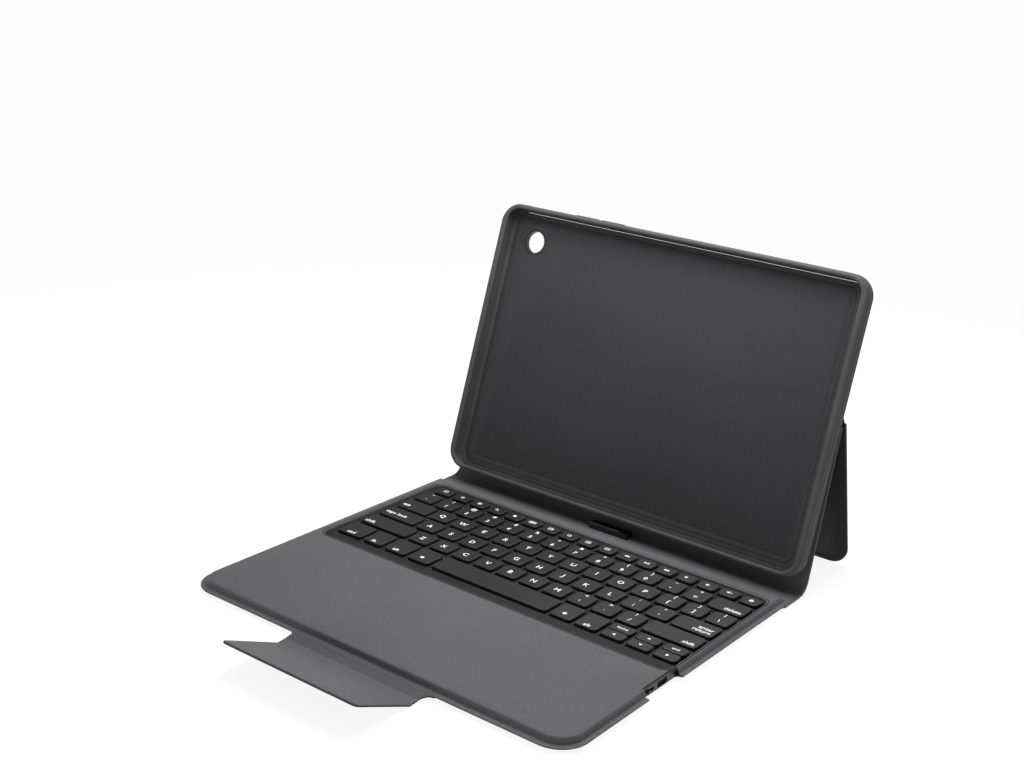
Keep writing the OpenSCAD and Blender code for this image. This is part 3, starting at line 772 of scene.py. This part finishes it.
def strip(name, rows, material, columns=24, uv=along):
    """A closed sheet. Each row is (x0, x1, upper point, lower point), points in the YZ plane."""
    bm = bmesh.new()
    tops, bottoms = [], []
    for x0, x1, upper, under in rows:
        places = [(x0 + d, k) for d, k in EDGE_COLUMNS]
        a, b = x0 + 2.5, x1 - 2.5
        places += [(a + (b - a) * i / columns, 1.0) for i in range(columns + 1)]
        places += [(x1 - d, k) for d, k in reversed(EDGE_COLUMNS)]
        middle = ((upper[0] + under[0]) / 2, (upper[1] + under[1]) / 2)
        top, bottom = [], []
        for x, k in places:
            up = [middle[i] + (upper[i] - middle[i]) * k for i in (0, 1)]
            down = [middle[i] + (under[i] - middle[i]) * k for i in (0, 1)]
            top.append(bm.verts.new((x, *up)))
            bottom.append(bm.verts.new((x, *down)))
        tops.append(top)
        bottoms.append(bottom)
    for grid, turn in ((tops, False), (bottoms, True)):
        for a, b in zip(grid, grid[1:]):
            for i in range(len(a) - 1):
                quad = (a[i], a[i + 1], b[i + 1], b[i])
                bm.faces.new(tuple(reversed(quad)) if turn else quad)
    for i in range(len(rows) - 1):
        bm.faces.new((tops[i][0], tops[i + 1][0], bottoms[i + 1][0], bottoms[i][0]))
        bm.faces.new((tops[i][-1], bottoms[i][-1], bottoms[i + 1][-1], tops[i + 1][-1]))
    for top, bottom, turn in ((tops[0], bottoms[0], False), (tops[-1], bottoms[-1], True)):
        for i in range(len(top) - 1):
            quad = (top[i], bottom[i], bottom[i + 1], top[i + 1])
            bm.faces.new(tuple(reversed(quad)) if turn else quad)
    return finish_mesh(name, bm, [material], uv=uv, smooth=60.0)


def smooth_path(points, step=1.0):
    """A Catmull-Rom curve through the points, sampled about every step millimetres."""
    path = []
    count = len(points)
    for i in range(count - 1):
        p0, p1, p2, p3 = (Vector(points[max(i - 1, 0)]), Vector(points[i]), Vector(points[i + 1]),
                          Vector(points[min(i + 2, count - 1)]))
        parts = max(1, int((p2 - p1).length / step))
        for k in range(parts):
            t = k / parts
            path.append(0.5 * ((2 * p1) + (p2 - p0) * t + (2 * p0 - 5 * p1 + 4 * p2 - p3) * t * t
                               + (3 * p1 - p0 - 3 * p2 + p3) * t ** 3))
    path.append(Vector(points[-1]))
    return path


def layer(path, thickness, side=-1):
    """(point, point offset by the thickness along the path's normal) for each point of a path."""
    out = []
    for i, p in enumerate(path):
        d = (path[min(i + 1, len(path) - 1)] - path[max(i - 1, 0)]).normalized()
        normal = Vector((-d.y, d.x)) * side
        t = thickness(i / (len(path) - 1)) if callable(thickness) else thickness
        out.append((p, p + normal * t))
    return out


SPINE_MID = (SPINE_LOW.y + SPINE_HIGH.y) / 2
TILT = math.radians(73.6)
LIP = (113.4, 13.1)


def on_tray(v, w):
    """A point v up the tray and w behind its front lip, in the YZ plane."""
    return Vector((LIP[0] + v * math.cos(TILT) + w * math.sin(TILT),
                   LIP[1] + v * math.sin(TILT) - w * math.cos(TILT)))


LEAN = math.radians(4)
PANEL_V = 91
TRAY_T = 10.5


def on_panel(down, out):
    """A point on the panel behind the tray: down from its top edge, out from its inner face."""
    return on_tray(PANEL_V - down * math.cos(LEAN) + out * math.sin(LEAN),
                   TRAY_T + down * math.sin(LEAN) + out * math.cos(LEAN))


def smooth_step(value, low, high):
    t = min(max((value - low) / (high - low), 0), 1)
    return t * t * (3 - 2 * t)


# The strips' hidden faces: their height under the lining at the base and at the spine, then the curl at the ends
BASE_UNDER, SPINE_UNDER = 2.2, 1.05
SHOWN_CURL, HIDDEN_CURL = 0.32, 0.3


def base_to_spine(name, path, profile, thickness, edge, material, node):
    """A strip that starts with the base's own cross-section and ends as the spine's flat one."""
    bm = bmesh.new()
    upward = profile is TOP_PROFILE
    width = EDGE_X - edge
    insets = sorted({max(i - edge, 0) for i, _ in profile} | {0, 0.12, 0.35, 0.8, 2.0})
    squeeze = right_inset if upward else float
    middle = [-110 + 10 * i for i in range(23)]
    columns = [-width + i for i in insets] + middle + [width - squeeze(i) for i in reversed(insets)]
    faces, backs = [], []
    for y, z in path:
        t = smooth_step(y, SPLIT_Y + 1, REAR_Y + 1.2)
        face, back = [], []
        for x in columns:
            inset = EDGE_X - abs(x)
            if upward and x > 0 and inset > FLANGE:
                inset = FLANGE + (inset - FLANGE) / RIGHT_BEVEL
            near = min((width - abs(x)) / 0.8, 1)
            curl = thickness * (1 - near) ** 2 * t
            side = profile_z(profile, inset)
            if upward:
                shown = min(z, side) - SHOWN_CURL * curl
                under = max(BASE_UNDER * (1 - t) + SPINE_UNDER * t, shown - thickness)
                hidden = min(under + HIDDEN_CURL * curl, shown - 0.2)
            else:
                shown = max(z, side * (1 - t)) * (1 - t) + z * t + SHOWN_CURL * curl
                hidden = max(min(shown + thickness, 2.1) - HIDDEN_CURL * curl, shown + 0.1)
            face.append(bm.verts.new((x, y, shown)))
            back.append(bm.verts.new((x, y, hidden)))
        faces.append(face)
        backs.append(back)
    for grid in (faces, backs):
        for a, b in zip(grid, grid[1:]):
            for i in range(len(a) - 1):
                bm.faces.new((a[i], a[i + 1], b[i + 1], b[i]))
    for end in (0, -1):
        for i in range(len(columns) - 1):
            bm.faces.new((faces[end][i], faces[end][i + 1], backs[end][i + 1], backs[end][i]))
        for i in range(len(path) - 1):
            bm.faces.new((faces[i][end], faces[i + 1][end], backs[i + 1][end], backs[i][end]))
    obj = finish_mesh(name, bm, [material], uv=along, smooth=60.0)
    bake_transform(obj)
    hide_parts(node)


def build_spine():
    path = smooth_path([
        (SPLIT_Y, TOP_Z), (99.5, TOP_Z), (101.2, TOP_Z), (102.6, 6.5), (103.8, 6.15), (104.9, 5.5),
        (106.0, 4.6), (107.2, 3.75), (108.6, 3.1), (110.5, 2.68), (113, 2.52), (SPINE_MID, 2.5)
    ], 0.5)
    base_to_spine("spine_lining_front", path, TOP_PROFILE, 1.45, 0.0, LINING, "spine_lining")
    path = smooth_path([
        (SPLIT_Y, 0.0), (101.5, 0.0), (104, 0.0), (106.8, 0.0), (107.7, 0.06), (108.2, 0.3), (108.7, 0.06),
        (109.6, 0.0), (113, 0.0), (SPINE_MID, 0.0)
    ], 0.4)
    base_to_spine("spine_fabric_front", path, UNDER_PROFILE, 1.0, 0.45, OUTER, "spine_fabric")

    top = [on_panel(d, 0.05) for d in (84.0, 78, 60, 40, 20, 8, 0.3)]
    inner = smooth_path([(SPINE_MID, 2.5), (119, 2.5), (121.6, 2.58), (123.9, 2.95), (126.0, 3.9), (127.8, 5.5),
                         (129.1, 7.9), (129.9, 11.0)] + [tuple(p) for p in top], 0.8)
    rows = [(-EDGE_X, EDGE_X, a, b) for a, b in layer(inner, lambda t: 1.45 - 0.5 * min(t * 5, 1))]
    obj = strip("spine_lining_rear", rows, LINING)
    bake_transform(obj)
    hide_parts("lower_back_lining")

    back = [on_panel(d, 2.0) for d in (84.5, 78, 60, 40, 20, 8, 0.3)]
    outer = smooth_path([(SPINE_MID, 0.0), (119.5, 0.0), (122.0, 0.03), (123.0, 0.35), (124.0, 0.3), (125.4, 0.6),
                         (127.4, 1.6), (129.3, 3.3), (130.8, 5.7), (131.7, 8.6), (132.2, 11.6)]
                        + [tuple(p) for p in back], 0.8)
    rows = [(-EDGE_X + 0.45, EDGE_X - 0.45, b, a) for a, b in layer(outer, 1.0, 1)]
    obj = strip("spine_fabric_rear", rows, OUTER)
    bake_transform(obj)
    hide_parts("lower_back_board")


# ------------------------------------------------------------------ tray

TRAY_W = 258.0
TRAY_H = 176.6
BUTTON_GAP = 0.3
TRAY_PLACE = Matrix.Translation((0, LIP[0], LIP[1])) @ Matrix.Rotation(TILT, 4, "X")


def tray_point(x, v, w):
    y, z = on_tray(v, w)
    return (x, y, z)


def tray_ring(inset_x, inset_v, w, r, steps=12):
    half = TRAY_W / 2 - inset_x
    return [tray_point(x, v, w) for x, v in rounded(-half, half, inset_v, TRAY_H - inset_v, (r, r, r, r), steps)]


def tray_uv(co):
    d = Vector((co.y - LIP[0], co.z - LIP[1]))
    return co.x * MM, (d.x * math.cos(TILT) + d.y * math.sin(TILT)) * MM


def build_tray_frame():
    bm = bmesh.new()
    # Rings from the lip's inner edge over the front, down the grooved side and back through the pocket:
    # (distance in from the sides, from the top and bottom, depth from the front, corner radius)
    profile = [
        (4.2, 3.0, 1.0, 9.0), (4.1, 2.9, 0.55, 9.1), (3.7, 2.65, 0.2, 9.4), (3.0, 2.2, 0.03, 10.1),
        (2.1, 1.6, 0.0, 11.0), (1.2, 1.0, 0.12, 11.9), (0.5, 0.45, 0.5, 12.5), (0.1, 0.1, 1.1, 12.9),
        (0, 0, 1.8, 13.0), (0, 0, 2.8, 13.0), (0.12, 0.12, 3.1, 12.9), (0.5, 0.5, 3.25, 12.5),
        (0.5, 0.5, 3.7, 12.5), (0.12, 0.12, 3.85, 12.9), (0, 0, 4.1, 13.0), (0, 0, 6.9, 13.0),
        (0.1, 0.1, 7.15, 12.9), (0.38, 0.38, 7.25, 12.6), (0.38, 0.38, 7.55, 12.6), (0.1, 0.1, 7.65, 12.9),
        (0, 0, 7.9, 13.0), (0, 0, 8.7, 13.0), (0.2, 0.2, 9.35, 12.8), (0.7, 0.7, 9.95, 12.3),
        (1.4, 1.4, 10.3, 11.6), (2.4, 2.4, 10.48, 10.6), (3.6, 3.2, 10.5, 9.6), (6.5, 4.05, 10.5, 8.0),
        (6.5, 4.05, 9.05, 8.0), (3.5, 1.05, 9.0, 8.0), (3.5, 1.05, 1.35, 8.0), (4.1, 2.9, 1.3, 9.0)
    ]
    rings = [add_ring(bm, tray_ring(*p)) for p in profile]
    for a, b in zip(rings, rings[1:] + rings[:1]):
        bridge(bm, a, b)
    obj = finish_mesh("tray_moulded_frame", bm, [TPU], uv=tray_uv, smooth=48.0)
    cutters = []
    for name in ("volume_up_button", "volume_down_button", "tablet_power_button"):
        low, high = local_box(name)
        gap = Vector((BUTTON_GAP, BUTTON_GAP, BUTTON_GAP))
        cutters.append(box_cutter(tuple(low - gap), tuple(high + gap), TRAY_PLACE, 0.25))
    cut(obj, cutters)
    obj.data.set_sharp_from_angle(angle=math.radians(48))
    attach(obj, "tray")
    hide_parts("tray_frame")


def local_box(name):
    """A CAD node's box in the tray's own frame: X across, Y up the tray, Z from back to front."""
    back = TRAY_PLACE.inverted()
    points = [back @ (v.co / MM) for v in frame["nodes"][name].data.vertices]
    return (Vector((min(p[i] for p in points) for i in range(3))),
            Vector((max(p[i] for p in points) for i in range(3))))


def circle(x, v, w, r, count=40):
    return [tray_point(x + r * math.cos(math.tau * i / count), v + r * math.sin(math.tau * i / count), w)
            for i in range(count)]


CAMERA_X, CAMERA_V = -105.0, TRAY_H - 22
COVER_HALF = 126
PAD_HALF = 119.5
PAD_EDGE = 7.05


def panel_with_hole(name, rings_spec, hole_spec, material):
    """A rounded slab with a camera hole: rings from its hidden face round the edge to its shown face."""
    bm = bmesh.new()
    outer = [add_ring(bm, ring_points) for ring_points in rings_spec]
    hole = [add_ring(bm, circle(CAMERA_X, CAMERA_V, w, r)) for r, w in hole_spec]
    for a, b in zip(outer, outer[1:]):
        bridge(bm, a, b)
    for a, b in zip(hole, hole[1:]):
        bridge(bm, a, b)
    fill(bm, outer[-1], hole[0])
    fill(bm, outer[0], hole[-1])
    obj = finish_mesh(name, bm, [material], uv=tray_uv, smooth=50.0)
    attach(obj, "tray")
    return obj


def back_ring(inset, w, low=97.7, high=TRAY_H - 4.5, r=8.0):
    r = max(r - inset, 1.0)
    half = COVER_HALF - inset
    return [tray_point(x, v, w) for x, v in rounded(-half, half, low + inset, high - inset, (r, r, r, r), 12)]


def pad_ring(inset, w):
    r = max(6 - inset, 1.0)
    half, edge = PAD_HALF - inset, PAD_EDGE + inset
    return [tray_point(x, v, w) for x, v in rounded(-half, half, edge, TRAY_H - edge, (r, r, r, r), 12)]


def build_tray_panels():
    rings = [(0.3, 10.55), (0, 10.9), (0, 11.7), (0.2, 12.05), (0.7, 12.25), (1.5, 12.3)]
    back = panel_with_hole("tray_back_fabric", [back_ring(*p) for p in rings],
                           [(8.9, 12.3), (8.5, 12.2), (8.3, 11.9), (8.3, 10.55)], OUTER)
    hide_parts("upper_back_cover")
    rings = [(0, 9.02), (0, 8.93), (0.12, 8.87), (0.4, 8.84), (2.2, 8.84), (2.5, 8.93), (2.9, 8.93), (3.2, 8.84)]
    pad = panel_with_hole("tray_pad_cloth", [pad_ring(*p) for p in rings],
                          [(11.5, 8.84), (11.1, 8.88), (11.0, 9.02)], FELT)
    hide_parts("tray_pad")


# ------------------------------------------------------------------ kickstand

STAND_ANGLE = math.radians(73.4)
STAND = Vector([c / MM for c in JOINT["kickstand_fold"]["pos_m"][1:]])
STAND_LENGTH = 103.1


def on_stand(down, out):
    return STAND + Vector((math.cos(STAND_ANGLE), -math.sin(STAND_ANGLE))) * down + Vector(
        (math.sin(STAND_ANGLE), math.cos(STAND_ANGLE))) * out


def stand_ring(inset, out, top=1.2):
    r = 12 - inset
    points = rounded(-EDGE_X + inset, EDGE_X - inset, top + inset, STAND_LENGTH - inset, (0.8, r, r, 0.8), 12)
    return [(x, *on_stand(d, out)) for x, d in points]


def stand_uv(co):
    d = Vector((co.y, co.z)) - STAND
    return co.x * MM, d.length * MM


def build_kickstand():
    def slab(name, profile, material, node):
        bm = bmesh.new()
        rings = [add_ring(bm, stand_ring(*p)) for p in profile]
        for a, b in zip(rings, rings[1:]):
            bridge(bm, a, b)
        fill(bm, rings[0])
        fill(bm, rings[-1])
        obj = finish_mesh(name, bm, [material], uv=stand_uv, smooth=50.0)
        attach(obj, "kickstand")
        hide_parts(*node)

    outer_edge = [(1.2, 0.5), (0.6, 0.85), (0.1, 0.98), (0, 1.1), (0, 2.0), (0.15, 2.4), (0.55, 2.68), (1.3, 2.8)]
    inner_edge = [(0.45, 1.6), (0.25, 0.9), (0.02, 0.75), (0.05, 0.35), (0.3, 0.1), (0.8, 0.0), (3.6, 0.0),
                  (3.85, 0.14), (4.1, 0.14), (4.35, 0.0)]
    slab("kickstand_fabric", outer_edge, OUTER, ["kickstand_cover"])
    slab("kickstand_inner_cloth", inner_edge, BLACK_TWILL, ["kickstand_lining"])
    # The outer fabric runs from the tray's back over the hinge onto the kickstand
    path = smooth_path([
        tuple(on_tray(101.5, 12.34)), tuple(on_tray(99.0, 12.5)), tuple(on_tray(96.6, 12.9)),
        tuple(on_stand(-1.3, 2.2)), tuple(on_stand(0.8, 2.75)), tuple(on_stand(3.0, 2.84)),
        tuple(on_stand(6.5, 2.82))
    ], 0.5)
    rows = [(-EDGE_X + 1.5, EDGE_X - 1.5, a, b) for a, b in layer(path, 0.9, -1)]
    obj = strip("kickstand_hinge_fabric", rows, OUTER)
    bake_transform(obj)


# ------------------------------------------------------------------ flap

FLAP_X0, FLAP_X1 = -46.4, 44.6
CREASE = (-118.9, 0.8)
TONGUE = 41.1
TIP_R = 2.4
RISE = math.radians(23)


def on_tongue(out, up):
    return Vector((CREASE[0], CREASE[1])) + Vector((-math.cos(RISE), math.sin(RISE))) * out + Vector(
        (math.sin(RISE), math.cos(RISE))) * up


def fillet(gap, r):
    return r - math.sqrt(max(r * r - max(r - max(gap, 0.0), 0.0) ** 2, 0))


def flap_ends(y, length):
    """The flap's two ends at a place: a fillet where it leaves the base, rounded corners at its tip."""
    gap = -(y - FRONT_Y) - 0.6
    shrink = fillet(TONGUE - length, TIP_R) if length > 0 else 0.0
    return FLAP_X0 - fillet(gap, 1.2) + shrink, FLAP_X1 + fillet(gap, 5.5) - shrink


def build_flap():
    neck = smooth_path([
        (-104.25, 3.15), (-105.5, 3.15), (-106.6, 3.12), (-107.6, 2.98), (-109.0, 2.6), (-111.5, 2.15),
        (-113.5, 1.85)
    ], 0.35)
    rest = [(-113.5, 1.85), (-115.5, 1.62), (-117.3, 1.5), (-118.4, 1.42), (-119.2, 1.5)]
    rest += [tuple(on_tongue(d, 0.62)) for d in (1.4, 2.6, 5, 9, 15, 21, 27, 33)]
    tail = smooth_path(rest, 0.7)
    tip = (35, 37, 38.2, 38.8, 39.2, 39.6, 40.0, 40.3, 40.6, 40.85, 41.0, TONGUE)
    tail += [on_tongue(d, 0.6) for d in tip]

    def rows_for(path, depth_top, depth_low):
        rows = []
        for i, p in enumerate(path):
            d = (path[min(i + 1, len(path) - 1)] - path[max(i - 1, 0)]).normalized()
            down = Vector((-d.y, d.x))
            out = (p - Vector(CREASE)).length if p.x < CREASE[0] - 0.5 else 0.0
            x0, x1 = flap_ends(p.x, min(out, TONGUE))
            rows.append((x0, x1, p + down * depth_top, p + down * depth_low))
        return rows

    neck_fold = (("base", "flap_neck"), -106.0, -109.4)
    tongue_fold = (("flap_neck", "flap_tongue"), -117.4, -120.4)
    # The neck's lining carries painted shade and the tongue's lining painted light, so the crease between them
    # shows
    pieces = [("flap_neck_lining", neck, 0.0, 0.7, NECK_LINING_PAINTED_SHADE, "soft_lining", neck_fold, "flap_neck_panel"),
              ("flap_neck_fabric", neck, 0.7, 1.25, OUTER, "twill_fabric", neck_fold, None),
              ("flap_tongue_lining", tail, 0.0, 0.7, TONGUE_LINING_PAINTED_LIGHT, "soft_lining", tongue_fold, "flap_skin"),
              ("flap_tongue_fabric", tail, 0.7, 1.35, OUTER, "twill_fabric", tongue_fold, "flap_board")]
    for name, path, top, low, material, slot, (bodies, start, end), node in pieces:
        obj = strip(name, rows_for(path, top, low), material, columns=30)
        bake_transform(obj)
        if node:
            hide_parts(node)


# ------------------------------------------------------------------ build everything

build_palm_rest()
build_base_cover()
for node_name in KEY_NODES:
    build_legends(node_name, build_caps(node_name))
build_spine()
build_tray_frame()
build_tray_panels()
build_kickstand()
build_flap()

# ------------------------------------------------------------------ floor, light and camera

FLOOR_HALF = 12
FLOOR_Z = -0.0003
floor_mesh = bpy.data.meshes.new("floor")
corners = [(x * FLOOR_HALF, y * FLOOR_HALF, FLOOR_Z) for x, y in ((-1, -1), (1, -1), (1, 1), (-1, 1))]
floor_mesh.from_pydata(corners, [], [(0, 1, 2, 3)])
floor = bpy.data.objects.new("floor", floor_mesh)
bpy.context.scene.collection.objects.link(floor)
# The floor is mostly self-lit, so its shadows stay faint and it stays white far from the lamps
pale = Nodes("pale_floor", 0.9, 0.1)
socket(pale.shader, "Base Color", (0.17, 0.17, 0.17, 1))
socket(pale.shader, "Emission Color", (1, 1, 1, 1))
socket(pale.shader, "Emission Strength", 0.89)
floor_mesh.materials.append(pale.material)


def sun_lamp(name, strength, spread, direction):
    lamp = bpy.data.lights.new(name, "SUN")
    lamp.energy = strength
    lamp.angle = math.radians(spread)
    obj = bpy.data.objects.new(name, lamp)
    obj.rotation_euler = Vector(direction).to_track_quat("-Z", "Y").to_euler()
    bpy.context.scene.collection.objects.link(obj)


sun_lamp("overhead_fill", 0.3, 90, (0.0, 0.0, -1.0))


def softbox(name, place, aim, size, power):
    lamp = bpy.data.lights.new(name, "AREA")
    lamp.shape = "SQUARE"
    lamp.size = size
    lamp.energy = power
    obj = bpy.data.objects.new(name, lamp)
    obj.location = place
    obj.rotation_euler = (Vector(aim) - Vector(place)).to_track_quat("-Z", "Y").to_euler()
    obj.visible_camera = False
    bpy.context.scene.collection.objects.link(obj)
    return obj


softbox("overhead_softbox", (0.0, 0.1, 0.41), (0.0, 0.1, 0.0), 0.3, 2.9)

# A second softbox behind the tray lights the key caps alone, which gives their tops a sheen
sheen = softbox("key_softbox", (0.05, 0.28, 0.16), (0.1, 0.04, 0.0), 0.16, 0.95)
lit = bpy.data.collections.new("keyboard_pieces")
for obj in bpy.data.objects:
    if obj.name.startswith("caps_"):
        lit.objects.link(obj)
sheen.light_linking.receiver_collection = lit
sheen.light_linking.blocker_collection = lit

world = bpy.data.worlds.new("studio")
bpy.context.scene.world = world
world.use_nodes = True
sky = world.node_tree.nodes["Background"]
sky.inputs["Color"].default_value = (1, 1, 1, 1)

# The sky is dim overhead and white near the horizon, where low views see it as the backdrop
sky_nodes = world.node_tree.nodes
sky_way = sky_nodes.new("ShaderNodeTexCoord")
sky_parts = sky_nodes.new("ShaderNodeSeparateXYZ")
sky_range = sky_nodes.new("ShaderNodeMapRange")
for name, value in (("From Min", 0.2), ("From Max", 0.4), ("To Min", 0.95), ("To Max", 0.28)):
    sky_range.inputs[name].default_value = value
world.node_tree.links.new(sky_way.outputs["Generated"], sky_parts.inputs[0])
world.node_tree.links.new(sky_parts.outputs["Z"], sky_range.inputs["Value"])
world.node_tree.links.new(sky_range.outputs["Result"], sky.inputs["Strength"])

CAMERA_AT = Vector((0.45965, -0.60921, 0.37864))
AZIMUTH, DOWN, ROLL = math.radians(36.66), math.radians(18.31), math.radians(3.26)
camera_data = bpy.data.cameras.new("camera")
camera_data.sensor_width = 36.0
camera_data.lens = 53.16
camera = bpy.data.objects.new("camera", camera_data)
camera.matrix_world = (Matrix.Translation(CAMERA_AT) @ Matrix.Rotation(AZIMUTH, 4, "Z")
                       @ Matrix.Rotation(math.pi / 2 - DOWN, 4, "X") @ Matrix.Rotation(ROLL, 4, "Z"))
bpy.context.scene.collection.objects.link(camera)
bpy.context.scene.camera = camera
bpy.context.scene.view_settings.view_transform = "Standard"
